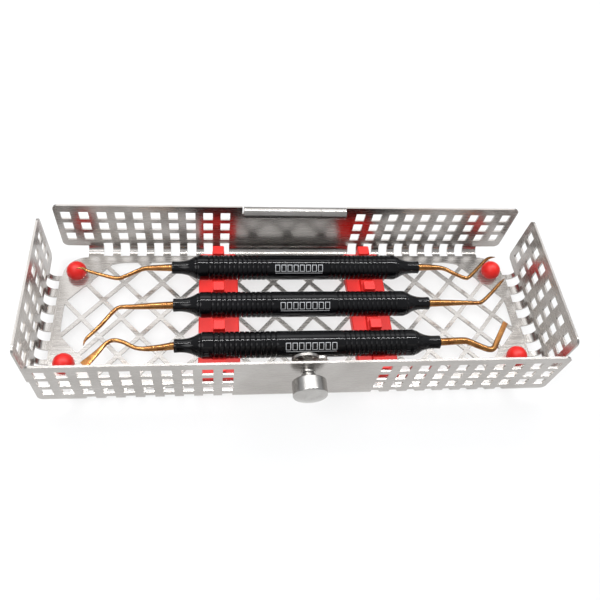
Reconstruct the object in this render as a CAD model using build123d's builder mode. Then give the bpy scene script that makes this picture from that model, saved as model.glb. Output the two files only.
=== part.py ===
from build123d import *

import os
from math import hypot

# Perforated steel instrument cassette that holds three double-ended periodontal hand instruments.
#
# Frame: +X runs along the instruments, +Y towards the hinge, +Z up. The silicone feet stand on Z = 0 and
# the origin is under the middle of the whole assembly. Everything is modelled round the tray's own centre
# and moved by frame_shift when it is written.

os.makedirs("parts", exist_ok=True)

# ------------------------------------------------------------------ driving dimensions, in millimetres
# tray sheet
tray_length = 200.0  # over the two end walls
tray_depth = 70.0  # over the front and rear walls
sheet = 0.8  # stainless sheet thickness
wall_height = 27.5  # wall top above the floor's upper face
bend_radius = 3.0  # inside radius of the folds
lip = 5.5  # how far each folded wall reaches in under itself to meet the flat floor
corner_radius = 9.5  # flat floor corners, between the folds
wall_end_gap = 4.7  # long wall end to the outside of the end wall
side_wall_end_gap = 6.0  # end wall end to the outside of the long wall
notch_height = 2.2  # free wall ends start this far above the floor
wall_corner_radius = 2.2

# wall perforation
column_pitch = 7.0
row_pitch = 6.6
hole_width = 3.8
hole_height = 4.4
rows = 3
middle_row = 15.0  # above the floor's upper face
blank_columns = 7  # left solid in the middle of a long wall
solid_margin = 2.0  # least steel between the last column and a wall's end
bare_columns = 2  # columns nearest each wall's end that have no slot below them
side_column_pitch = 7.95
side_hole_width = 4.2
slot_top = 3.8  # slot end on the wall, above the floor's upper face
slot_reach = 4.7  # slot end in the floor, in from the wall's outer face

# floor lattice
lattice_x = 7.7  # half of a diamond's length
lattice_y = 8.35  # half of a diamond's depth
strut = 1.6
window_margin = 2.4  # solid border inside the flat floor's edge
window_corner = 24.0
boss_radius = 7.0  # solid gusset under each bumper
smallest_opening = 8.0  # square millimetres, smaller leftovers stay solid

# silicone bumpers, which are also the feet
foot_height = 2.2
foot_radius = 4.2
bumper_radius = 4.0
bumper_rise = 2.2  # ball centre above the floor's upper face
bumper_inset_x = 6.0
bumper_inset_y = 8.5
neck_radius = 2.0
foot_edge = 0.5

# silicone rails
rail_width = 16.0
rail_end_gap = 0.5  # rail end to the edge of the flat floor
rail_steps = 4  # lattice half-diamonds from the middle to each rail
rail_base = 3.4
rail_corner = 1.5
rail_edge = 0.6
ridge_width = 5.0
ridge_end = 1.0  # ridge end to the rail's end
ridge_height = 6.3  # above the floor's upper face
peg_width = 4.7
peg_length = 4.3
peg_height = 9.3  # above the floor's upper face
peg_corner = 0.6
peg_edge = 0.4
plug_steps = 2  # lattice half-diamonds from the middle to each plug
plug_radius = 4.2
plug_head_radius = 5.6
plug_head = 1.2

# hinge
pin_radius = 1.6
pin_chamfer = 0.25
running_clearance = 0.05
knuckle_half = 20.7  # half of the whole barrel
lid_knuckle_half = 10.2
knuckle_gap = 0.25
hinge_drop = 1.3  # pin axis below the wall top
hinge_relief = 0.5  # cut in the wall beside the barrel
tab_drop = 0.25  # cut below the barrel
leaf_gap = 0.3  # lid leaf to the wall's outer face
leaf_length = 17.0  # from the pin axis down
leaf_hole_spacing = 12.0
leaf_hole_radius = 1.1
leaf_hole_margin = 3.4
leaf_corner = 1.5
leaf_crank = 0.3  # height over which the leaf starts to step back
curl_angle = 300.0  # how far round the sheet is rolled

# latch
latch_drop = 7.5  # latch axis below the wall top
spindle_radius = 1.5
bush_radius = 2.1
bush_flange_radius = 2.7
bush_flange = 0.7
bush_tail = 1.15
bush_chamfer = 0.2
nut_radius = 3.6
nut_thickness = 1.0
latch_gap = 0.15  # each axial gap between turning and fixed pieces
washer_thickness = 0.3
washer_radius = 2.5
washer_wave = 0.05
washer_waves = 3
boss_length = 2.2
knob_boss_radius = 2.3
knob_radius = 6.1
knob_thickness = 5.6
knob_dome = 0.9
knob_bore = 5.6
knob_edge = 0.5
cam_thickness = 1.0
cam_square = 2.1
lobe_radius = 5.0
lobe_centre = (-1.2, 4.5)
finger_reach = 6.2
finger_top = 7.0
finger_bottom = 3.0
finger_corner = 1.4
hub_radius = 3.2
screw_radius = 0.7
screw_head_radius = 1.5
screw_head = 1.0
screw_head_edge = 0.35
screw_length = 3.0
screw_slot = 0.4

# instruments
handle_radius = 5.1
handle_half = 41.1  # centre to the seam with each nose
shoulder_length = 0.8
shoulder_radius = 4.9
handle_bore = 3.4
instrument_pitch = 17.8
saddle_clearance = 0.3
axis_height = 9.0  # instrument axis above the floor's upper face
groove_count = 13
groove_pitch = 1.93
groove_start = 13.2
groove_depth = 0.25
groove_width = 0.75
nose_length = 10.1
nose_radius = 4.7
nose_end_radius = 2.6
nose_waist_radius = 2.5
nose_collar = 4.6
nose_edge = 0.2
spigot_length = 6.0
shank_radius = 1.5
shank_stub = 6.0
handle_shift_rear = 1.7  # each handle's middle along X
handle_shift_middle = 2.7
handle_shift_front = 3.5

# working ends: distance beyond the nose, sideways offset, half width, half thickness
rear_left_tip = [
    (5.5, -0.1, 1.25, 1.25),
    (11.4, -0.6, 0.9, 0.9),
    (17.8, -3.9, 0.8, 0.8),
    (21.3, -5.1, 0.8, 0.8),
    (27.6, -3.4, 0.7, 0.7),
    (33.2, -1.4, 0.6, 0.6),
    (34.9, -0.3, 0.5, 0.5),
    (37.6, -0.2, 0.15, 0.15),
]
rear_right_tip = [
    (5.7, 0.0, 1.25, 1.25),
    (11.1, -0.6, 0.9, 0.9),
    (15.4, -3.3, 0.8, 0.8),
    (19.4, -5.4, 0.8, 0.8),
    (21.6, -4.8, 0.8, 0.8),
    (26.8, 0.0, 0.7, 0.7),
    (30.9, 3.8, 0.65, 0.65),
    (33.3, 5.1, 0.5, 0.5),
    (35.7, 5.4, 0.15, 0.15),
]
middle_left_tip = [
    (8.0, -0.3, 1.3, 1.3),
    (15.0, -0.6, 1.0, 1.0),
    (20.2, -0.8, 0.8, 0.8),
    (22.8, -3.0, 0.8, 0.8),
    (26.9, -8.9, 0.75, 0.75),
    (30.4, -13.1, 0.65, 0.65),
    (31.7, -15.0, 0.45, 0.45),
    (32.1, -17.1, 0.15, 0.15),
]
middle_right_tip = [
    (8.0, 0.1, 1.3, 1.3),
    (15.0, 0.1, 1.0, 1.0),
    (20.7, 0.0, 0.8, 0.8),
    (23.3, 0.8, 0.8, 0.8),
    (28.4, 5.1, 0.75, 0.75),
    (33.1, 9.5, 0.6, 0.6),
    (35.8, 11.9, 0.2, 0.2),
]
front_left_tip = [
    (4.5, -0.6, 1.25, 1.25),
    (9.5, -1.0, 1.0, 1.0),
    (12.5, -0.9, 0.8, 0.8),
    (14.9, -0.2, 0.8, 0.8),
    (18.7, 1.9, 0.8, 0.8),
    (22.2, 2.7, 0.8, 0.8),
    (24.8, 1.4, 0.8, 0.7),
    (27.8, -2.5, 1.1, 0.5),
    (32.0, -7.4, 1.8, 0.35),
]
front_right_tip = [
    (9.2, 0.4, 1.4, 1.4),
    (11.9, 0.0, 1.3, 1.3),
    (16.0, -2.1, 1.2, 1.2),
    (19.3, -3.5, 1.15, 1.15),
    (21.6, -2.9, 1.15, 1.0),
    (24.0, 0.5, 1.05, 0.6),
    (29.4, 8.3, 1.05, 0.4),
]

# ------------------------------------------------------------------ worked-out places
half_length = tray_length / 2
half_depth = tray_depth / 2
floor_top = foot_height + sheet
wall_top = floor_top + wall_height
outer_bend = bend_radius + sheet
floor_half_x = half_length - lip
floor_half_y = half_depth - lip
long_strip = floor_half_x - corner_radius
side_strip = floor_half_y - corner_radius
long_half_width = half_length - wall_end_gap
side_half_width = half_depth - side_wall_end_gap
first_column = (blank_columns + 1) / 2 * column_pitch
long_reach = long_half_width - solid_margin - hole_width / 2 - first_column
long_columns = int(long_reach / column_pitch) + 1  # in each of the two blocks
long_slots = long_columns - bare_columns
block_centre = (blank_columns + long_columns) / 2 * column_pitch
slot_block_centre = (blank_columns + long_slots) / 2 * column_pitch
side_reach = side_half_width - solid_margin - side_hole_width / 2
side_columns = 2 * int(side_reach / side_column_pitch) + 1
side_slots = side_columns - bare_columns
rail_half_length = floor_half_y - rail_end_gap
bumper_x = floor_half_x - bumper_inset_x
bumper_y = floor_half_y - bumper_inset_y
bumper_places = [(x * bumper_x, y * bumper_y) for x in (-1, 1) for y in (-1, 1)]
knuckle_radius = pin_radius + running_clearance + sheet
hinge_y = half_depth - knuckle_radius
hinge_z = wall_top - hinge_drop
tab_base = hinge_z - knuckle_radius - tab_drop
leaf_offset = leaf_gap + sheet
latch_z = wall_top - latch_drop
instrument_z = floor_top + axis_height
rail_x = rail_steps * lattice_x
handle_end = handle_half + nose_length
bush_front = -half_depth - bush_flange
boss_rear = bush_front - latch_gap - washer_thickness
disc_rear = boss_rear - boss_length
knob_front = disc_rear - knob_thickness
bush_rear = -half_depth + sheet + bush_tail
cam_front = bush_rear + latch_gap
cam_rear = cam_front + cam_thickness
frame_shift = -(half_depth + leaf_offset + knob_front - knob_dome) / 2


def save(part, label):
    """Moves a finished piece from the tray's centre to the assembly's origin, labels it and writes it."""
    placed = part.moved(Location((0, frame_shift, 0)))
    placed.label = label
    export_step(placed, f"parts/{label}.step")


def at_y(y):
    """A plane facing the front, at depth y, with its origin on the latch axis."""
    return Plane(origin=(0, y, latch_z), x_dir=(1, 0, 0), z_dir=(0, -1, 0))


# ------------------------------------------------------------------ folded walls
def folded_wall(outer, half_width, strip_half, width, pitch, columns, slots, blocks, slot_blocks):
    """One perforated wall with its fold, standing on the +Y side with its outer face at y = outer."""
    notch_z = floor_top + notch_height
    slot_y = outer - slot_reach
    with BuildPart() as wall:
        with BuildSketch(Plane.YZ):
            with BuildLine():
                bend_centre = (outer - outer_bend, foot_height + outer_bend)
                Line((outer - lip, foot_height), (outer - outer_bend, foot_height))
                CenterArc(bend_centre, outer_bend, -90, 90)
                Line((outer, foot_height + outer_bend), (outer, wall_top))
                Line((outer, wall_top), (outer - sheet, wall_top))
                Line((outer - sheet, wall_top), (outer - sheet, foot_height + outer_bend))
                CenterArc(bend_centre, bend_radius, -90, 90)
                Line((outer - outer_bend, floor_top), (outer - lip, floor_top))
                Line((outer - lip, floor_top), (outer - lip, foot_height))
            make_face()
        extrude(amount=half_width, both=True)
        with BuildSketch(Plane.XZ):
            with Locations((0, (notch_z + wall_top) / 2)):
                RectangleRounded(2 * half_width, wall_top - notch_z, wall_corner_radius)
            with Locations((0, (notch_z + wall_corner_radius) / 2)):
                Rectangle(2 * strip_half, notch_z + wall_corner_radius)
        extrude(amount=outer + sheet, both=True, mode=Mode.INTERSECT)
        with BuildSketch(Plane.XZ):
            for centre in blocks:
                with Locations((centre, floor_top + middle_row)):
                    with GridLocations(pitch, row_pitch, columns, rows):
                        Rectangle(width, hole_height)
        extrude(amount=outer + sheet, both=True, mode=Mode.SUBTRACT)
        with BuildSketch(Plane.XZ.offset(-slot_y)):
            for centre in slot_blocks:
                with Locations((centre, (floor_top + slot_top) / 2)):
                    with GridLocations(pitch, 1, slots, 1):
                        Rectangle(width, floor_top + slot_top)
        extrude(amount=-slot_reach - sheet, mode=Mode.SUBTRACT)
    return wall.part


def plain_long_wall():
    """The front and rear walls before the latch hole or the hinge is added."""
    return folded_wall(
        outer=half_depth,
        half_width=long_half_width,
        strip_half=long_strip,
        width=hole_width,
        pitch=column_pitch,
        columns=long_columns,
        slots=long_slots,
        blocks=(-block_centre, block_centre),
        slot_blocks=(-slot_block_centre, slot_block_centre),
    )


def rolled_knuckle(inner_radius):
    """The section of a rolled knuckle, from the upright sheet over the top and round to the inside."""
    centre = (hinge_y, hinge_z)
    with BuildSketch() as section:
        with BuildLine():
            outer_arc = CenterArc(centre, knuckle_radius, 0, curl_angle)
            inner_arc = CenterArc(centre, inner_radius, 0, curl_angle)
            Line(outer_arc @ 0, inner_arc @ 0)
            Line(outer_arc @ 1, inner_arc @ 1)
        make_face()
    return section.sketch


def make_rear_wall():
    """The rear wall, whose top is rolled into the two outer hinge knuckles."""
    knuckle_length = knuckle_half - lid_knuckle_half - knuckle_gap
    knuckle_middle = knuckle_half - knuckle_length / 2
    plain_wall = plain_long_wall()
    knuckle = rolled_knuckle(pin_radius)
    with BuildPart() as wall:
        add(plain_wall)
        with BuildSketch(Plane.XZ):
            with Locations((0, (tab_base + wall_top + sheet) / 2)):
                Rectangle(2 * (knuckle_half + hinge_relief), wall_top + sheet - tab_base)
        extrude(amount=half_depth + sheet, both=True, mode=Mode.SUBTRACT)
        for middle in (-knuckle_middle, knuckle_middle):
            with BuildSketch(Plane.YZ.offset(middle)):
                with Locations((half_depth - sheet / 2, (tab_base + hinge_z) / 2)):
                    Rectangle(sheet, hinge_z - tab_base)
                add(knuckle)
            extrude(amount=knuckle_length / 2, both=True)
    return wall.part


def make_front_wall():
    """The front wall, with the round hole for the latch bush."""
    plain_wall = plain_long_wall().rotate(Axis.Z, 180)
    with BuildPart() as wall:
        add(plain_wall)
        with BuildSketch(at_y(-half_depth - sheet)):
            Circle(bush_radius)
        extrude(amount=-3 * sheet, mode=Mode.SUBTRACT)
    return wall.part


def make_side_wall(side):
    """An end wall, turned from the +Y side: the right one for side 1, the left one for side -1."""
    wall = folded_wall(
        outer=half_length,
        half_width=side_half_width,
        strip_half=side_strip,
        width=side_hole_width,
        pitch=side_column_pitch,
        columns=side_columns,
        slots=side_slots,
        blocks=(0,),
        slot_blocks=(0,),
    )
    return wall.rotate(Axis.Z, -90 * side)


# ------------------------------------------------------------------ floor
def make_floor():
    """The flat floor, cut into a lattice of diamonds inside a solid border."""
    side = hypot(lattice_x, lattice_y)
    shrink = 1 - strut * side / (2 * lattice_x * lattice_y)
    across, deep = lattice_x * shrink, lattice_y * shrink
    steps_x = round(floor_half_x / lattice_x)
    steps_y = round(floor_half_y / lattice_y)
    centres = [
        (i * lattice_x, j * lattice_y)
        for i in range(-steps_x, steps_x + 1)
        for j in range(-steps_y, steps_y + 1)
        if (i + j) % 2 == 0
    ]
    with BuildSketch() as openings:
        with Locations(*centres):
            Polygon((across, 0), (0, deep), (-across, 0), (0, -deep))
        RectangleRounded(
            2 * (floor_half_x - window_margin),
            2 * (floor_half_y - window_margin),
            window_corner,
            mode=Mode.INTERSECT,
        )
        with Locations(*bumper_places):
            Circle(boss_radius, mode=Mode.SUBTRACT)
    kept = [face for face in openings.faces() if face.area > smallest_opening]
    with BuildPart() as floor:
        with BuildSketch(Plane.XY.offset(foot_height)):
            RectangleRounded(2 * floor_half_x, 2 * floor_half_y, corner_radius)
            add(kept, mode=Mode.SUBTRACT)
            with Locations(*bumper_places):
                Circle(neck_radius, mode=Mode.SUBTRACT)
        extrude(amount=sheet)
    return floor.part


# ------------------------------------------------------------------ silicone pieces
def make_bumper(place):
    """A ball on the floor, its neck through the sheet and the foot under it, moulded in one."""
    ball_z = floor_top + bumper_rise
    flat = (bumper_radius**2 - bumper_rise**2) ** 0.5
    with BuildPart() as bumper:
        with BuildSketch(Plane(origin=(*place, 0), x_dir=(1, 0, 0), z_dir=(0, -1, 0))):
            with BuildLine():
                Polyline(
                    (flat, floor_top),
                    (neck_radius, floor_top),
                    (neck_radius, foot_height),
                    (foot_radius, foot_height),
                    (foot_radius, 0),
                    (0, 0),
                    (0, ball_z + bumper_radius),
                )
                ThreePointArc(
                    (0, ball_z + bumper_radius), (bumper_radius, ball_z), (flat, floor_top)
                )
            make_face()
        revolve(axis=Axis((*place, 0), (0, 0, 1)))
        foot_rim = bumper.edges().filter_by(GeomType.CIRCLE).group_by(Axis.Z)[0]
        fillet(foot_rim, radius=foot_edge)
    return bumper.part


def make_rail(side):
    """A soft rail across the floor: a ridge with a saddle under each handle, pegs between and plugs below."""
    x = side * rail_x
    seat_radius = handle_radius + saddle_clearance
    plug_places = [(x, end * plug_steps * lattice_y) for end in (-1, 1)]
    with BuildPart() as rail:
        with BuildSketch(Plane.XY.offset(floor_top)):
            with Locations((x, 0)):
                RectangleRounded(rail_width, 2 * rail_half_length, rail_corner)
        extrude(amount=rail_base)
        fillet(rail.faces().sort_by(Axis.Z)[-1].edges(), radius=rail_edge)
        with BuildSketch(Plane.XY.offset(floor_top)):
            with Locations((x, 0)):
                Rectangle(ridge_width, 2 * (rail_half_length - ridge_end))
        extrude(amount=ridge_height)
        with BuildSketch(Plane.YZ.offset(x)):
            with Locations((0, instrument_z)):
                with GridLocations(instrument_pitch, 1, 3, 1):
                    Circle(seat_radius)
        extrude(amount=rail_width, both=True, mode=Mode.SUBTRACT)
        with BuildSketch(Plane.XY.offset(floor_top)):
            with Locations((x, 0)):
                with GridLocations(1, instrument_pitch, 1, 4):
                    RectangleRounded(peg_width, peg_length, peg_corner)
        extrude(amount=peg_height)
        fillet(rail.faces().sort_by(Axis.Z)[-4:].edges(), radius=peg_edge)
        with BuildSketch(Plane.XY.offset(foot_height)):
            with Locations(*plug_places):
                Circle(plug_radius)
        extrude(amount=sheet)
        with BuildSketch(Plane.XY.offset(foot_height - plug_head)):
            with Locations(*plug_places):
                Circle(plug_head_radius)
        extrude(amount=plug_head)
    return rail.part


# ------------------------------------------------------------------ hinge
def make_hinge_pin():
    """The straight pin, tight in the wall's two knuckles and free in the lid leaf's."""
    with BuildPart() as pin:
        with BuildSketch(Plane.YZ):
            with Locations((hinge_y, hinge_z)):
                Circle(pin_radius)
        extrude(amount=knuckle_half, both=True)
        chamfer(pin.faces().filter_by(Axis.X).edges(), length=pin_chamfer)
    return pin.part


def make_lid_leaf():
    """The lid's hinge leaf: the middle knuckle and a cranked leaf that hangs behind the rear wall."""
    face = half_depth - sheet
    crank_top = hinge_z - leaf_crank
    crank_bottom = hinge_z - knuckle_radius
    bottom = hinge_z - leaf_length
    knuckle = rolled_knuckle(pin_radius + running_clearance)
    with BuildPart() as leaf:
        with BuildSketch(Plane.YZ):
            add(knuckle)
            with BuildLine():
                Polyline(
                    (face, hinge_z),
                    (face, crank_top),
                    (face + leaf_offset, crank_bottom),
                    (face + leaf_offset, bottom),
                    (face + leaf_offset + sheet, bottom),
                    (face + leaf_offset + sheet, crank_bottom + leaf_crank),
                    (face + sheet, hinge_z),
                    close=True,
                )
            make_face()
        extrude(amount=lid_knuckle_half, both=True)
        corners = leaf.edges().filter_by(Axis.Y).group_by(Axis.Z)[0]
        fillet(corners, radius=leaf_corner)
        with BuildSketch(Plane.XZ):
            with Locations((0, bottom + leaf_hole_margin)):
                with GridLocations(leaf_hole_spacing, 1, 2, 1):
                    Circle(leaf_hole_radius)
        extrude(amount=-tray_depth, mode=Mode.SUBTRACT)
    return leaf.part


# ------------------------------------------------------------------ latch
def make_latch_bush():
    """The flanged bush that the spindle turns in, set through the front wall."""
    with BuildPart() as bush:
        with BuildSketch(at_y(bush_rear)):
            Circle(bush_radius)
        extrude(amount=bush_rear - bush_front)
        with BuildSketch(at_y(-half_depth)):
            Circle(bush_flange_radius)
        extrude(amount=bush_flange)
        with BuildSketch(at_y(bush_rear)):
            Circle(spindle_radius + running_clearance)
        extrude(amount=bush_rear - bush_front, mode=Mode.SUBTRACT)
        flange_rim = bush.faces().sort_by(Axis.Y)[0].edges().sort_by(SortBy.LENGTH)[-1:]
        chamfer(flange_rim, length=bush_chamfer)
    return bush.part


def make_latch_nut():
    """The thin nut that clamps the bush from inside the tray."""
    with BuildPart() as nut:
        with BuildSketch(at_y(-half_depth + sheet + nut_thickness)):
            RegularPolygon(nut_radius, 6)
            Circle(bush_radius, mode=Mode.SUBTRACT)
        extrude(amount=nut_thickness)
    return nut.part


def make_latch_washer():
    """The waved spring washer that gives the knob its drag."""
    with BuildPart() as washer:
        with BuildSketch(at_y(bush_front - latch_gap + washer_wave)):
            Circle(washer_radius)
            Circle(spindle_radius + running_clearance, mode=Mode.SUBTRACT)
        extrude(amount=washer_thickness + washer_wave)
        with BuildSketch(at_y(bush_front - latch_gap + washer_wave)):
            with PolarLocations(washer_radius, washer_waves):
                Circle(washer_radius / 2)
        extrude(amount=washer_wave, mode=Mode.SUBTRACT)
    return washer.part


def make_latch_knob():
    """The turned knob, with a slightly domed face and a boss behind it."""
    with BuildPart() as knob:
        with BuildSketch(at_y(boss_rear)):
            Circle(knob_boss_radius)
        extrude(amount=boss_length)
        with BuildSketch(at_y(disc_rear)):
            Circle(knob_radius)
        extrude(amount=knob_thickness)
        rims = knob.edges().filter_by(GeomType.CIRCLE).sort_by(SortBy.LENGTH)[-2:]
        fillet(rims, radius=knob_edge)
        face_radius = knob_radius - knob_edge
        with BuildSketch(Plane.YZ):
            with BuildLine():
                Line((knob_front, latch_z), (knob_front - knob_dome, latch_z))
                TangentArc(
                    (knob_front - knob_dome, latch_z),
                    (knob_front, latch_z + face_radius),
                    tangent=(0, 1),
                )
                Line((knob_front, latch_z + face_radius), (knob_front, latch_z))
            make_face()
        revolve(axis=Axis((0, 0, latch_z), (0, 1, 0)))
        with BuildSketch(at_y(boss_rear)):
            Circle(spindle_radius)
        extrude(amount=knob_bore, mode=Mode.SUBTRACT)
    return knob.part


def make_latch_spindle():
    """The spindle from the knob to the cam, squared where it drives the cam."""
    with BuildPart() as spindle:
        with BuildSketch(at_y(cam_front)):
            Circle(spindle_radius)
        extrude(amount=cam_front - boss_rear + knob_bore)
        with BuildSketch(at_y(cam_rear)):
            Rectangle(cam_square, cam_square)
        extrude(amount=cam_thickness)
        with BuildSketch(at_y(cam_rear)):
            Circle(screw_radius)
        extrude(amount=screw_length, mode=Mode.SUBTRACT)
    return spindle.part


def make_latch_cam():
    """The cam plate: a lobe that stands above the wall top and a short finger to one side."""
    with BuildPart() as cam:
        with BuildSketch(at_y(cam_rear)):
            Circle(hub_radius)
            with Locations(lobe_centre):
                Circle(lobe_radius)
            with Locations((finger_reach / 2, (finger_top + finger_bottom) / 2)):
                RectangleRounded(finger_reach, finger_top - finger_bottom, finger_corner)
            Rectangle(cam_square, cam_square, mode=Mode.SUBTRACT)
        extrude(amount=cam_thickness)
    return cam.part


def make_latch_screw():
    """The slotted screw that holds the cam on the spindle."""
    with BuildPart() as screw:
        with BuildSketch(at_y(cam_rear + screw_head)):
            Circle(screw_head_radius)
        extrude(amount=screw_head)
        fillet(screw.faces().sort_by(Axis.Y)[-1].edges(), radius=screw_head_edge)
        with BuildSketch(at_y(cam_rear)):
            Circle(screw_radius)
        extrude(amount=screw_length)
        with BuildSketch(at_y(cam_rear + screw_head)):
            Rectangle(2 * screw_head_radius, screw_slot)
        extrude(amount=screw_slot, mode=Mode.SUBTRACT)
    return screw.part


# ------------------------------------------------------------------ instruments
def make_handle(x, y):
    """A handle ringed with grooves in its two grip zones, with a socket for the nose at each end."""
    flat = groove_width / 2
    upper = [(0.0, handle_radius)]
    for n in range(groove_count):
        middle = groove_start + n * groove_pitch
        upper += [
            (middle - flat, handle_radius),
            (middle - flat / 2, handle_radius - groove_depth),
            (middle + flat / 2, handle_radius - groove_depth),
            (middle + flat, handle_radius),
        ]
    upper += [(handle_half - shoulder_length, handle_radius), (handle_half, shoulder_radius)]
    socket = [(handle_half, handle_bore), (handle_half - spigot_length, handle_bore)]
    with BuildPart() as handle:
        with BuildSketch(Plane(origin=(x, y, instrument_z), x_dir=(1, 0, 0), z_dir=(0, -1, 0))):
            with BuildLine():
                Polyline(*upper, *socket, (handle_half - spigot_length, 0), (0, 0), close=True)
            make_face()
        revolve(axis=Axis((x, y, instrument_z), (1, 0, 0)))
        mirror(about=Plane.YZ.offset(x))
    return handle.part


def make_nose(x, y, side):
    """A nose cone: a spigot pressed in the handle, a hollow-curved taper and a bore for the shank."""
    seam = handle_half
    front = seam + nose_length
    bore_end = front - shank_stub
    spigot_end = seam - spigot_length
    collar = (front - nose_collar, nose_waist_radius)
    with BuildPart() as nose:
        with BuildSketch(Plane(origin=(x, y, instrument_z), x_dir=(side, 0, 0), z_dir=(0, -side, 0))):
            with BuildLine():
                Polyline(
                    collar,
                    (front - nose_edge, nose_end_radius),
                    (front, nose_end_radius - nose_edge),
                    (front, shank_radius),
                    (bore_end, shank_radius),
                    (bore_end, 0),
                    (spigot_end, 0),
                    (spigot_end, handle_bore),
                    (seam, handle_bore),
                    (seam, nose_radius),
                )
                TangentArc(collar, (seam, nose_radius), tangent=(-1, 0))
            make_face()
        revolve(axis=Axis((x, y, instrument_z), (1, 0, 0)))
    return nose.part


def make_tip(x, y, side, stations):
    """A shank and working end, lofted through oval sections, with a round stub inside the nose."""
    root = x + side * handle_end
    points = [(0, 0, shank_radius, shank_radius)] + stations
    with BuildPart() as tip:
        for index, (reach, offset, half_width, half_thickness) in enumerate(points):
            before = points[max(index - 1, 0)]
            after = points[min(index + 1, len(points) - 1)]
            along = Vector(side * (after[0] - before[0]), after[1] - before[1], 0)
            if index == 0:
                along = Vector(side, 0, 0)
            across = Vector(-along.Y, along.X, 0)
            place = (root + side * reach, y + offset, instrument_z)
            with BuildSketch(Plane(origin=place, x_dir=across, z_dir=along)):
                Ellipse(half_width, half_thickness)
        loft(ruled=True)
        with BuildSketch(Plane(origin=(root, y, instrument_z), x_dir=(0, 1, 0), z_dir=(-side, 0, 0))):
            Circle(shank_radius)
        extrude(amount=shank_stub)
    return tip.part


# ------------------------------------------------------------------ all pieces
save(make_floor(), "tray_floor")
save(make_front_wall(), "wall_front")
save(make_rear_wall(), "wall_rear")
save(make_side_wall(-1), "wall_left")
save(make_side_wall(1), "wall_right")
save(make_bumper(bumper_places[0]), "bumper_front_left")
save(make_bumper(bumper_places[1]), "bumper_rear_left")
save(make_bumper(bumper_places[2]), "bumper_front_right")
save(make_bumper(bumper_places[3]), "bumper_rear_right")
save(make_rail(-1), "rail_left")
save(make_rail(1), "rail_right")
save(make_hinge_pin(), "hinge_pin")
save(make_lid_leaf(), "lid_hinge_leaf")
save(make_latch_bush(), "latch_bush")
save(make_latch_nut(), "latch_nut")
save(make_latch_washer(), "latch_washer")
save(make_latch_knob(), "latch_knob")
save(make_latch_spindle(), "latch_spindle")
save(make_latch_cam(), "latch_cam")
save(make_latch_screw(), "latch_screw")

instruments = [
    ("rear", handle_shift_rear, instrument_pitch, rear_left_tip, rear_right_tip),
    ("middle", handle_shift_middle, 0, middle_left_tip, middle_right_tip),
    ("front", handle_shift_front, -instrument_pitch, front_left_tip, front_right_tip),
]
for name, x, y, left_tip, right_tip in instruments:
    save(make_handle(x, y), f"{name}_handle")
    save(make_nose(x, y, -1), f"{name}_nose_left")
    save(make_nose(x, y, 1), f"{name}_nose_right")
    save(make_tip(x, y, -1, left_tip), f"{name}_tip_left")
    save(make_tip(x, y, 1, right_tip), f"{name}_tip_right")
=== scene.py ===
import math

import bpy
from mathutils import Matrix, Vector


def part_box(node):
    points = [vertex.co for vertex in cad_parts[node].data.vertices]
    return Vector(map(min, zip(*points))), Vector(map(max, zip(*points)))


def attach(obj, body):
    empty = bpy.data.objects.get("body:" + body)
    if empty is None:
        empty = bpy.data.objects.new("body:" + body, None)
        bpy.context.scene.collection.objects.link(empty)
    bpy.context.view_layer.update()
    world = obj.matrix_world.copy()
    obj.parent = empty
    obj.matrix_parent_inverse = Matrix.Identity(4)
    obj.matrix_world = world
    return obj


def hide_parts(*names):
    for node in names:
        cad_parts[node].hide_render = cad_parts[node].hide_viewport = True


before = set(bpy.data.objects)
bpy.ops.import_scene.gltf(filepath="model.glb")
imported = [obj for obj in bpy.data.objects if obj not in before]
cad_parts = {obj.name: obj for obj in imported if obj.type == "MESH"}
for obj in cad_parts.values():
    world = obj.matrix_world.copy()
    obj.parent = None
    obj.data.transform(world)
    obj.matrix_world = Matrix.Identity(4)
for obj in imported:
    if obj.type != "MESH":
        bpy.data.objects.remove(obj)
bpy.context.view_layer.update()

# Looks for a perforated steel instrument cassette with three double-ended hand instruments.
#
# The scene is in metres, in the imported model's frame: +X along the instruments, +Y towards the hinge, +Z up.

MM = 0.001

# ------------------------------------------------------------------ how finely pieces are divided
ROUND_STEPS = 72  # points round a turned piece
SHOULDER_STEPS = 4  # stretches over a handle's rounded shoulder
GROOVE_STEPS = 4  # stretches down each side of a groove
TIP_STEPS = 28  # points round a shank
SPLINE_STEPS = 9  # rings between two stations of a working end
MARK_STEPS = 4  # stretches of a printed line round the handle
SHARP_ANGLE = 40.0  # degrees between faces that keep a hard edge
TIP_SHARP_ANGLE = 50.0

# ------------------------------------------------------------------ sizes, in millimetres
HANDLE_HALF = 41.1
SHOULDER_ROUND = 0.9
SHOULDER_REACH = 0.98  # share of the shoulder's length that its curve takes
SHOULDER_DROP = 0.35
SEAM_DROP = 0.55  # how much smaller the handle is at the seam with its nose
GROOVE_COUNT = 13
GROOVE_PITCH = 1.93
GROOVE_START = 13.2
GROOVE_LEAD = 2.0  # last plain ring before the first groove's middle
GROOVE_WIDTH = 0.75
GROOVE_DEPTH = 0.25
NOSE_LENGTH = 10.1
NOSE_BORE = 1.2  # depth of the recess round the shank
SHANK_RADIUS = 1.5
SHANK_STUB = 2.0  # how far the shank reaches into the nose

MARK_COUNT = 8  # printed boxes on a handle
MARK_PITCH = 2.5
MARK_WIDTH = 1.9
MARK_HEIGHT = 2.8
MARK_LINE = 0.2
MARK_RISE = 0.03  # how far the printed lines stand above the handle
MARK_SINK = 0.02  # and how far they reach into it
MARK_GAP = 0.01  # between the lines of a box, so that each is a shell of its own
MARK_TILT = 38.0  # degrees from straight up towards the front
RULE_HALF = 9.6  # half the length of the rule under the boxes
RULE_DROP = 0.75  # rule below the boxes

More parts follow.
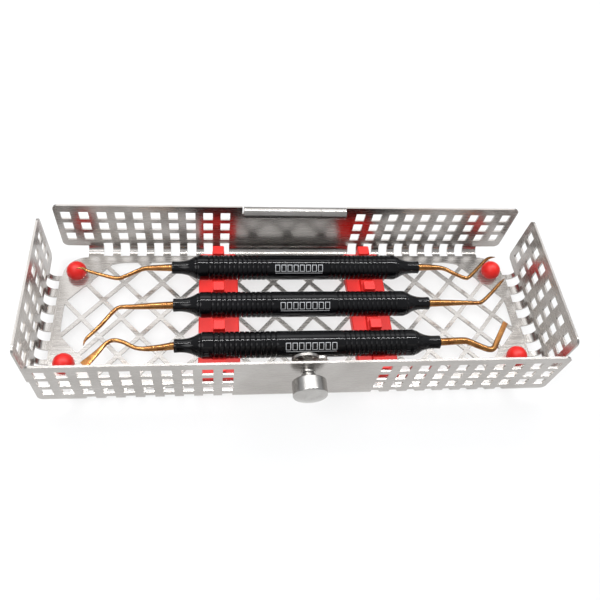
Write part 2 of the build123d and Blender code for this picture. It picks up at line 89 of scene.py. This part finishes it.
# a nose's outline: distance beyond the seam with the handle, radius
NOSE_OUTLINE = [
    (0.0, 0.0),
    (0.0, 4.55),
    (0.25, 4.7),
    (0.7, 4.62),
    (1.4, 4.25),
    (2.2, 3.8),
    (3.1, 3.38),
    (4.1, 3.02),
    (5.2, 2.75),
    (6.4, 2.58),
    (7.6, 2.52),
    (8.8, 2.55),
    (NOSE_LENGTH - 0.3, 2.6),
    (NOSE_LENGTH - 0.08, 2.52),
    (NOSE_LENGTH, 2.35),
    (NOSE_LENGTH, SHANK_RADIUS + 0.12),
    (NOSE_LENGTH - NOSE_BORE, SHANK_RADIUS + 0.05),
    (NOSE_LENGTH - NOSE_BORE, 0.0),
]

# working ends: distance beyond the nose, sideways offset, half width, half thickness, and the power that
# squares the section's oval (1 is an ellipse, less is boxier)
TIPS = {
    "rear_tip_left": [
        (5.5, -0.1, 1.25, 1.25, 1.0),
        (11.4, -0.6, 0.9, 0.9, 1.0),
        (17.8, -3.9, 0.8, 0.8, 1.0),
        (21.3, -5.1, 0.8, 0.8, 1.0),
        (27.6, -3.4, 0.7, 0.7, 1.0),
        (33.2, -1.4, 0.6, 0.6, 1.0),
        (34.9, -0.3, 0.5, 0.5, 1.0),
        (37.6, -0.2, 0.1, 0.12, 1.0),
    ],
    "rear_tip_right": [
        (5.7, 0.0, 1.25, 1.25, 1.0),
        (11.1, -0.6, 0.9, 0.9, 1.0),
        (15.4, -3.3, 0.8, 0.8, 1.0),
        (19.4, -5.4, 0.8, 0.8, 1.0),
        (21.6, -4.8, 0.8, 0.8, 1.0),
        (26.8, 0.0, 0.7, 0.7, 1.0),
        (30.9, 3.8, 0.65, 0.65, 1.0),
        (33.3, 5.1, 0.5, 0.5, 1.0),
        (35.7, 5.4, 0.1, 0.12, 1.0),
    ],
    "middle_tip_left": [
        (8.0, -0.3, 1.3, 1.3, 1.0),
        (15.0, -0.6, 1.0, 1.0, 1.0),
        (20.2, -0.8, 0.8, 0.8, 1.0),
        (22.8, -3.0, 0.8, 0.8, 1.0),
        (26.9, -8.9, 0.75, 0.75, 1.0),
        (30.4, -13.1, 0.65, 0.65, 0.8),
        (31.7, -15.0, 0.45, 0.45, 0.8),
        (32.1, -17.1, 0.1, 0.12, 0.8),
    ],
    "middle_tip_right": [
        (8.0, 0.1, 1.3, 1.3, 1.0),
        (15.0, 0.1, 1.0, 1.0, 1.0),
        (20.7, 0.0, 0.8, 0.8, 1.0),
        (23.3, 0.8, 0.8, 0.8, 1.0),
        (28.4, 5.1, 0.75, 0.75, 1.0),
        (33.1, 9.5, 0.6, 0.6, 0.8),
        (35.8, 11.9, 0.15, 0.2, 0.8),
    ],
    "front_tip_left": [
        (4.5, -0.6, 1.25, 1.25, 1.0),
        (9.5, -1.0, 1.0, 1.0, 1.0),
        (12.5, -0.9, 0.8, 0.8, 1.0),
        (14.9, -0.2, 0.8, 0.8, 1.0),
        (18.7, 1.9, 0.8, 0.8, 1.0),
        (22.2, 2.7, 0.8, 0.8, 1.0),
        (24.8, 1.4, 0.8, 0.7, 0.9),
        (27.8, -2.5, 1.1, 0.5, 0.6),
        (32.0, -7.4, 1.8, 0.3, 0.5),
    ],
    "front_tip_right": [
        (9.2, 0.4, 1.4, 1.4, 1.0),
        (11.9, 0.0, 1.3, 1.3, 1.0),
        (16.0, -2.1, 1.2, 1.2, 1.0),
        (19.3, -3.5, 1.15, 1.15, 1.0),
        (21.6, -2.9, 1.15, 1.0, 0.8),
        (24.0, 0.5, 1.05, 0.6, 0.5),
        (29.4, 8.3, 1.05, 0.35, 0.4),
    ],
}

INSTRUMENTS = ("rear", "middle", "front")

# ------------------------------------------------------------------ studio, in metres and watts
FLOOR_REACH = 20.0
FLOOR_GLOW = 0.26
WORLD_COLOUR = (0.95, 0.97, 1.0, 1.0)
WORLD_STRENGTH = 0.52
LAMPS = [  # name, place, size, power, whether it casts shadows
    ("rear_softbox", (0.0, 0.55, 0.62), (1.20, 0.34), 1.9, True),
    ("key_softbox", (-0.45, -0.35, 0.75), (0.50, 0.50), 2.4, True),
    ("strip", (0.0, 0.16, 0.66), (1.20, 0.016), 5.0, False),
]


# ------------------------------------------------------------------ node helpers
def new_material(name):
    """A material with one principled shader. Returns it with its node tree and that shader."""
    mat = bpy.data.materials.new(name)
    mat.use_nodes = True
    tree = mat.node_tree
    return mat, tree, tree.nodes["Principled BSDF"]


def stretched_noise(tree, stretch, detail, distortion=0.0):
    """Noise over the object's own coordinates, with stretch grains in a metre along X, Y and Z."""
    place = tree.nodes.new("ShaderNodeTexCoord")
    mapping = tree.nodes.new("ShaderNodeMapping")
    noise = tree.nodes.new("ShaderNodeTexNoise")
    mapping.inputs["Scale"].default_value = stretch
    noise.inputs["Scale"].default_value = 1.0
    noise.inputs["Detail"].default_value = detail
    noise.inputs["Distortion"].default_value = distortion
    tree.links.new(place.outputs["Object"], mapping.inputs["Vector"])
    tree.links.new(mapping.outputs["Vector"], noise.inputs["Vector"])
    return noise.outputs["Fac"]


def set_colour(tree, shader, noise, dark, light):
    """Blends the shader's base colour between two colours by a noise value."""
    ramp = tree.nodes.new("ShaderNodeValToRGB")
    ramp.color_ramp.elements[0].position = 0.3
    ramp.color_ramp.elements[0].color = (*dark, 1.0)
    ramp.color_ramp.elements[1].position = 0.7
    ramp.color_ramp.elements[1].color = (*light, 1.0)
    tree.links.new(noise, ramp.inputs["Fac"])
    tree.links.new(ramp.outputs["Color"], shader.inputs["Base Color"])


def set_roughness(tree, shader, noise, low, high):
    """Spreads the shader's roughness from low to high by a noise value."""
    spread = tree.nodes.new("ShaderNodeMapRange")
    spread.inputs["From Min"].default_value = 0.25
    spread.inputs["From Max"].default_value = 0.75
    spread.inputs["To Min"].default_value = low
    spread.inputs["To Max"].default_value = high
    tree.links.new(noise, spread.inputs["Value"])
    tree.links.new(spread.outputs["Result"], shader.inputs["Roughness"])


def add_bump(tree, shader, height, distance, strength):
    """Raises the surface by height times distance, in metres."""
    bump = tree.nodes.new("ShaderNodeBump")
    bump.inputs["Strength"].default_value = strength
    bump.inputs["Distance"].default_value = distance
    tree.links.new(height, bump.inputs["Height"])
    tree.links.new(bump.outputs["Normal"], shader.inputs["Normal"])


# ------------------------------------------------------------------ materials
def brushed_sheet(name, grain):
    """Satin stainless sheet, brushed along one direction, with faint cloudy wear."""
    mat, tree, shader = new_material(name)
    streaks = stretched_noise(tree, grain, detail=3.0)
    clouds = stretched_noise(tree, (55, 55, 55), detail=3.0, distortion=0.4)
    shader.inputs["Metallic"].default_value = 1.0
    set_colour(tree, shader, clouds, dark=(0.39, 0.37, 0.35), light=(0.49, 0.47, 0.45))
    set_roughness(tree, shader, streaks, low=0.20, high=0.31)
    add_bump(tree, shader, streaks, distance=0.000004, strength=0.4)
    return mat


def turned_steel(name, centre):
    """Turned stainless with fine rings round an axis that runs front to back through centre, in metres."""
    mat, tree, shader = new_material(name)
    place = tree.nodes.new("ShaderNodeTexCoord")
    mapping = tree.nodes.new("ShaderNodeMapping")
    mapping.inputs["Location"].default_value = (-centre[0], 0.0, -centre[2])
    mapping.inputs["Scale"].default_value = (1.0, 0.0, 1.0)
    length = tree.nodes.new("ShaderNodeVectorMath")
    length.operation = "LENGTH"
    rings = tree.nodes.new("ShaderNodeTexNoise")
    rings.noise_dimensions = "1D"
    rings.inputs["Scale"].default_value = 9000.0
    rings.inputs["Detail"].default_value = 3.0
    tree.links.new(place.outputs["Object"], mapping.inputs["Vector"])
    tree.links.new(mapping.outputs["Vector"], length.inputs[0])
    tree.links.new(length.outputs["Value"], rings.inputs["W"])
    clouds = stretched_noise(tree, (220, 220, 220), detail=2.0)
    shader.inputs["Metallic"].default_value = 1.0
    set_colour(tree, shader, clouds, dark=(0.40, 0.39, 0.375), light=(0.50, 0.49, 0.475))
    set_roughness(tree, shader, rings.outputs["Fac"], low=0.16, high=0.30)
    add_bump(tree, shader, rings.outputs["Fac"], distance=0.000004, strength=0.5)
    return mat


def red_silicone():
    """Moulded red silicone: satin, very slightly cloudy, with a fine mould grain."""
    mat, tree, shader = new_material("red_silicone")
    clouds = stretched_noise(tree, (120, 120, 120), detail=3.0)
    grain = stretched_noise(tree, (5200, 5200, 5200), detail=2.0)
    set_colour(tree, shader, clouds, dark=(0.66, 0.008, 0.006), light=(0.78, 0.016, 0.010))
    set_roughness(tree, shader, grain, low=0.34, high=0.5)
    shader.inputs["Subsurface Weight"].default_value = 0.08
    shader.inputs["Subsurface Radius"].default_value = (0.002, 0.0004, 0.0003)
    shader.inputs["Subsurface Scale"].default_value = 1.0
    add_bump(tree, shader, grain, distance=0.00001, strength=0.4)
    return mat


def black_resin():
    """Semi-gloss black handle coating with handling wear."""
    mat, tree, shader = new_material("black_resin")
    clouds = stretched_noise(tree, (160, 160, 160), detail=5.0, distortion=0.5)
    grain = stretched_noise(tree, (4200, 4200, 4200), detail=2.0)
    set_colour(tree, shader, clouds, dark=(0.0015, 0.0015, 0.002), light=(0.004, 0.004, 0.005))
    set_roughness(tree, shader, clouds, low=0.08, high=0.13)
    shader.inputs["Specular IOR Level"].default_value = 0.28
    add_bump(tree, shader, grain, distance=0.000003, strength=0.3)
    return mat


def gold_coating():
    """Bronze-gold hard coating on polished steel, drawn along the shank."""
    mat, tree, shader = new_material("gold_coating")
    clouds = stretched_noise(tree, (260, 260, 260), detail=4.0)
    streaks = stretched_noise(tree, (300, 3000, 3000), detail=3.0)
    shader.inputs["Metallic"].default_value = 1.0
    set_colour(tree, shader, clouds, dark=(0.28, 0.115, 0.038), light=(0.46, 0.23, 0.08))
    set_roughness(tree, shader, streaks, low=0.18, high=0.28)
    add_bump(tree, shader, streaks, distance=0.000003, strength=0.3)
    return mat


def silver_print():
    """The pale print of the boxes on the handles."""
    mat, tree, shader = new_material("silver_print")
    worn = stretched_noise(tree, (2400, 2400, 2400), detail=3.0)
    set_colour(tree, shader, worn, dark=(0.50, 0.51, 0.53), light=(0.74, 0.75, 0.77))
    set_roughness(tree, shader, worn, low=0.35, high=0.55)
    shader.inputs["Metallic"].default_value = 0.3
    return mat


def pale_floor():
    """A pale studio sheet with a very faint mottle, glowing a little so that it comes out white."""
    mat, tree, shader = new_material("pale_floor")
    mottle = stretched_noise(tree, (9, 9, 9), detail=2.0)
    set_colour(tree, shader, mottle, dark=(0.50, 0.50, 0.50), light=(0.53, 0.53, 0.53))
    shader.inputs["Roughness"].default_value = 0.8
    shader.inputs["Emission Color"].default_value = (1.0, 1.0, 1.0, 1.0)
    shader.inputs["Emission Strength"].default_value = FLOOR_GLOW
    return mat


# ------------------------------------------------------------------ mesh helpers
def mesh_piece(name, verts, faces, mat, sharp_angle=SHARP_ANGLE):
    """A mesh object at the origin, with its place in its vertices."""
    mesh = bpy.data.meshes.new(name)
    mesh.from_pydata([tuple(v) for v in verts], [], faces)
    mesh.validate()
    mesh.update()
    obj = bpy.data.objects.new(name, mesh)
    bpy.context.scene.collection.objects.link(obj)
    mesh.materials.append(mat)
    mesh.shade_smooth()
    mesh.set_sharp_from_angle(angle=math.radians(sharp_angle))
    return obj


def lathe_x(name, profile, centre, mat):
    """Turns an outline of (x, radius) points in millimetres about an axis along X through centre.

    The outline may run either way along X: the faces are always wound so that they look outwards.
    """
    verts = []
    faces = []
    rings = []
    for x, radius in profile:
        if radius < 1e-6:
            verts.append(centre + Vector((x, 0, 0)) * MM)
            rings.append([len(verts) - 1])
            continue
        first = len(verts)
        for step in range(ROUND_STEPS):
            turn = math.tau * step / ROUND_STEPS
            verts.append(centre + Vector((x, radius * math.cos(turn), radius * math.sin(turn))) * MM)
        rings.append(list(range(first, first + ROUND_STEPS)))
    for near, far in zip(rings, rings[1:]):
        for step in range(ROUND_STEPS):
            after = (step + 1) % ROUND_STEPS
            if len(near) == 1:
                faces.append((near[0], far[step], far[after]))
            elif len(far) == 1:
                faces.append((near[step], far[0], near[after]))
            else:
                faces.append((near[step], far[step], far[after], near[after]))
    if profile[-1][0] > profile[0][0]:
        faces = [tuple(reversed(face)) for face in faces]
    return mesh_piece(name, verts, faces, mat)


def catmull(before, start, end, after, t):
    """The station at t between start and end on a smooth curve through all four."""
    return [
        0.5 * (2 * b + (c - a) * t + (2 * a - 5 * b + 4 * c - d) * t * t + (3 * b - a - 3 * c + d) * t**3)
        for a, b, c, d in zip(before, start, end, after)
    ]


def smooth_stations(stations):
    """Fills in rings between the stations of a working end."""
    padded = [stations[0]] + list(stations) + [stations[-1]]
    rings = []
    for four in zip(padded, padded[1:], padded[2:], padded[3:]):
        for step in range(SPLINE_STEPS):
            rings.append(catmull(*four, step / SPLINE_STEPS))
    rings.append(list(stations[-1]))
    return rings


def working_end(name, side, centre, stations, mat):
    """A shank swept through its stations, with its cross-section flattened where it becomes a blade."""
    root = (0.0, 0.0, SHANK_RADIUS, SHANK_RADIUS, 1.0)
    stub = (-SHANK_STUB, 0.0, SHANK_RADIUS, SHANK_RADIUS, 1.0)
    rings = smooth_stations([stub, root] + stations)
    nose_end = HANDLE_HALF + NOSE_LENGTH
    spots = [centre + Vector((side * (nose_end + ring[0]), ring[1], 0)) * MM for ring in rings]
    verts = []
    faces = []
    for i, (ring, spot) in enumerate(zip(rings, spots)):
        along = (spots[min(i + 1, len(spots) - 1)] - spots[max(i - 1, 0)]).normalized()
        across = Vector((-along.y, along.x, 0)).normalized()
        half_width, half_thickness, power = ring[2:]
        for step in range(TIP_STEPS):
            turn = math.tau * step / TIP_STEPS
            c, s = math.cos(turn), math.sin(turn)
            wide = math.copysign(abs(c) ** power, c) * half_width
            thick = math.copysign(abs(s) ** power, s) * half_thickness
            verts.append(spot + (across * wide + Vector((0, 0, thick))) * MM)
    for i in range(len(rings) - 1):
        near, far = i * TIP_STEPS, (i + 1) * TIP_STEPS
        for step in range(TIP_STEPS):
            after = (step + 1) % TIP_STEPS
            faces.append((near + step, near + after, far + after, far + step))
    last = (len(rings) - 1) * TIP_STEPS
    faces.append(tuple(range(last, last + TIP_STEPS)))
    faces.append(tuple(reversed(range(TIP_STEPS))))
    return mesh_piece(name, verts, faces, mat, TIP_SHARP_ANGLE)


# ------------------------------------------------------------------ instruments
def handle_profile(radius):
    """One half of a handle's outline, from its middle to the seam, with soft grooves."""
    points = [(0.0, radius), (GROOVE_START - GROOVE_LEAD, radius)]
    for n in range(GROOVE_COUNT):
        middle = GROOVE_START + n * GROOVE_PITCH
        for step in range(-GROOVE_STEPS, GROOVE_STEPS + 1):
            across = step / GROOVE_STEPS
            depth = GROOVE_DEPTH * 0.5 * (1 + math.cos(math.pi * across))
            points.append((middle + across * GROOVE_WIDTH / 2, radius - depth))
    start = HANDLE_HALF - SHOULDER_ROUND
    for step in range(SHOULDER_STEPS + 1):
        turn = math.pi / 2 * step / SHOULDER_STEPS
        drop = SHOULDER_DROP * (1 - math.cos(turn))
        points.append((start + SHOULDER_ROUND * math.sin(turn) * SHOULDER_REACH, radius - drop))
    points.append((HANDLE_HALF, radius - SEAM_DROP))
    return points


def handle(name, centre, radius, mat):
    """A whole handle, mirrored about its middle and closed at both seams."""
    half = handle_profile(radius)
    mirrored = [(-x, r) for x, r in reversed(half[1:])]
    profile = [(-HANDLE_HALF, 0.0)] + mirrored + half + [(HANDLE_HALF, 0.0)]
    return lathe_x(name, profile, centre, mat)


def nose(name, side, centre, mat):
    """A nose: a short rounded shoulder, a hollow taper and a slightly flared collar with a bored end."""
    profile = [(side * (HANDLE_HALF + x), r) for x, r in NOSE_OUTLINE]
    return lathe_x(name, profile, centre, mat)


def mark_strokes():
    """The lines of the printed boxes and their rule, as (left, right, low, top) on the unrolled handle."""
    half_height = MARK_HEIGHT / 2
    upright = half_height - MARK_LINE - MARK_GAP
    rule_low = -half_height - RULE_DROP
    strokes = [(-RULE_HALF, RULE_HALF, rule_low, rule_low + MARK_LINE)]
    for n in range(MARK_COUNT):
        left = (n - (MARK_COUNT - 1) / 2) * MARK_PITCH - MARK_WIDTH / 2
        right = left + MARK_WIDTH
        strokes.append((left, right, half_height - MARK_LINE, half_height))
        strokes.append((left, right, -half_height, -half_height + MARK_LINE))
        strokes.append((left, left + MARK_LINE, -upright, upright))
        strokes.append((right - MARK_LINE, right, -upright, upright))
    return strokes


def printed_boxes(name, centre, radius, mat):
    """A plain row of outlined boxes over a rule, where the real handle carries a printed mark.

    Each line is a thin closed shell that follows the handle's round.
    """
    verts = []
    faces = []
    for left, right, low, top in mark_strokes():
        first = len(verts)
        for n in range(MARK_STEPS + 1):
            turn = math.radians(90 + MARK_TILT) - (low + (top - low) * n / MARK_STEPS) / radius
            for lift in (radius - MARK_SINK, radius + MARK_RISE):
                for x in (left, right):
                    verts.append(centre + Vector((x, lift * math.cos(turn), lift * math.sin(turn))) * MM)
        for n in range(MARK_STEPS):
            a = first + 4 * n
            b = a + 4
            faces += [(a, b, b + 1, a + 1), (a + 2, a + 3, b + 3, b + 2)]
            faces += [(a, a + 2, b + 2, b), (a + 1, b + 1, b + 3, a + 3)]
        last = first + 4 * MARK_STEPS
        faces += [(first, first + 1, first + 3, first + 2), (last, last + 2, last + 3, last + 1)]
    return mesh_piece(name, verts, faces, mat)


def dress_instrument(which, resin, gold, print_ink):
    """Replaces one instrument's CAD nodes with its finished pieces."""
    low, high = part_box(f"{which}_handle")
    centre = (Vector(low) + Vector(high)) / 2
    radius = (high[2] - low[2]) / 2 / MM
    body = f"instrument_{which}"
    grip = handle(f"{which}_handle_turned", centre, radius, resin)
    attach(grip, body)
    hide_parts(f"{which}_handle")
    mark = printed_boxes(f"{which}_mark", centre, radius, print_ink)
    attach(mark, body)
    for side, word in ((-1, "left"), (1, "right")):
        cone = nose(f"{which}_nose_{word}_turned", side, centre, resin)
        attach(cone, body)
        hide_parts(f"{which}_nose_{word}")
        node = f"{which}_tip_{word}"
        tip = working_end(f"{node}_drawn", side, centre, TIPS[node], gold)
        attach(tip, body)
        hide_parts(node)


# ------------------------------------------------------------------ carried-over nodes
def repaint(mat, *nodes):
    """Gives CAD nodes a finished material."""
    for node in nodes:
        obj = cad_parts[node]
        for slot in obj.material_slots:
            slot.material = mat


# ------------------------------------------------------------------ studio
def area_light(name, place, size, power, shadows):
    """A soft rectangular lamp at place, turned towards the origin."""
    lamp = bpy.data.lights.new(name, "AREA")
    lamp.shape = "RECTANGLE"
    lamp.size, lamp.size_y = size
    lamp.energy = power
    lamp.use_shadow = shadows
    obj = bpy.data.objects.new(name, lamp)
    bpy.context.scene.collection.objects.link(obj)
    obj.location = place
    obj.rotation_euler = (-Vector(place)).to_track_quat("-Z", "Y").to_euler()


def studio():
    """Floor, lamps and a pale surrounding."""
    mesh = bpy.data.meshes.new("floor")
    corners = [(x * FLOOR_REACH, y * FLOOR_REACH, 0) for x, y in ((-1, -1), (1, -1), (1, 1), (-1, 1))]
    mesh.from_pydata(corners, [], [(0, 1, 2, 3)])
    floor = bpy.data.objects.new("floor", mesh)
    bpy.context.scene.collection.objects.link(floor)
    mesh.materials.append(pale_floor())
    world = bpy.data.worlds.new("studio")
    bpy.context.scene.world = world
    world.use_nodes = True
    background = world.node_tree.nodes["Background"]
    background.inputs["Color"].default_value = WORLD_COLOUR
    background.inputs["Strength"].default_value = WORLD_STRENGTH
    for lamp in LAMPS:
        area_light(*lamp)


def camera():
    """The camera, from its direction round the object, its tilt, its roll and its distance."""
    azimuth = math.radians(-11.05)
    elevation = math.radians(55.08)
    roll = math.radians(8.97)
    distance = 252.3 * MM
    target = Vector((-6.2, 16.9, 15.0)) * MM
    image_px = 600
    focal_px = 625.5
    shift_px = (20, -26)
    back = Vector((
        math.sin(azimuth) * math.cos(elevation),
        -math.cos(azimuth) * math.cos(elevation),
        math.sin(elevation),
    ))
    right = (-back).cross(Vector((0, 0, 1))).normalized()
    up = right.cross(-back)
    right_rolled = right * math.cos(roll) + up * math.sin(roll)
    up_rolled = -right * math.sin(roll) + up * math.cos(roll)
    data = bpy.data.cameras.new("camera")
    data.sensor_width = 36.0
    data.lens = focal_px / image_px * data.sensor_width
    data.shift_x = shift_px[0] / image_px
    data.shift_y = shift_px[1] / image_px
    data.clip_start = 0.01
    obj = bpy.data.objects.new("camera", data)
    bpy.context.scene.collection.objects.link(obj)
    turn = Matrix((right_rolled, up_rolled, back)).transposed().to_4x4()
    obj.matrix_world = Matrix.Translation(target + back * distance) @ turn
    bpy.context.scene.camera = obj


# ------------------------------------------------------------------ the whole scene
sheet_along_x = brushed_sheet("sheet_along_x", (90, 5200, 5200))
sheet_along_y = brushed_sheet("sheet_along_y", (5200, 90, 5200))
knob_low, knob_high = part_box("latch_knob")
knob_centre = [(a + b) / 2 for a, b in zip(knob_low, knob_high)]
turned = turned_steel("turned_steel", knob_centre)
silicone = red_silicone()
resin = black_resin()
gold = gold_coating()
ink = silver_print()

repaint(sheet_along_x, "tray_floor", "wall_front", "wall_rear", "lid_hinge_leaf", "latch_cam", "hinge_pin")
repaint(sheet_along_y, "wall_left", "wall_right")
repaint(turned, "latch_knob", "latch_spindle", "latch_washer", "latch_screw", "latch_bush", "latch_nut")
repaint(silicone, "rail_left", "rail_right", "bumper_front_left", "bumper_front_right")
repaint(silicone, "bumper_rear_left", "bumper_rear_right")
for which in INSTRUMENTS:
    dress_instrument(which, resin, gold, ink)
studio()
camera()
bpy.context.scene.view_settings.view_transform = "Standard"
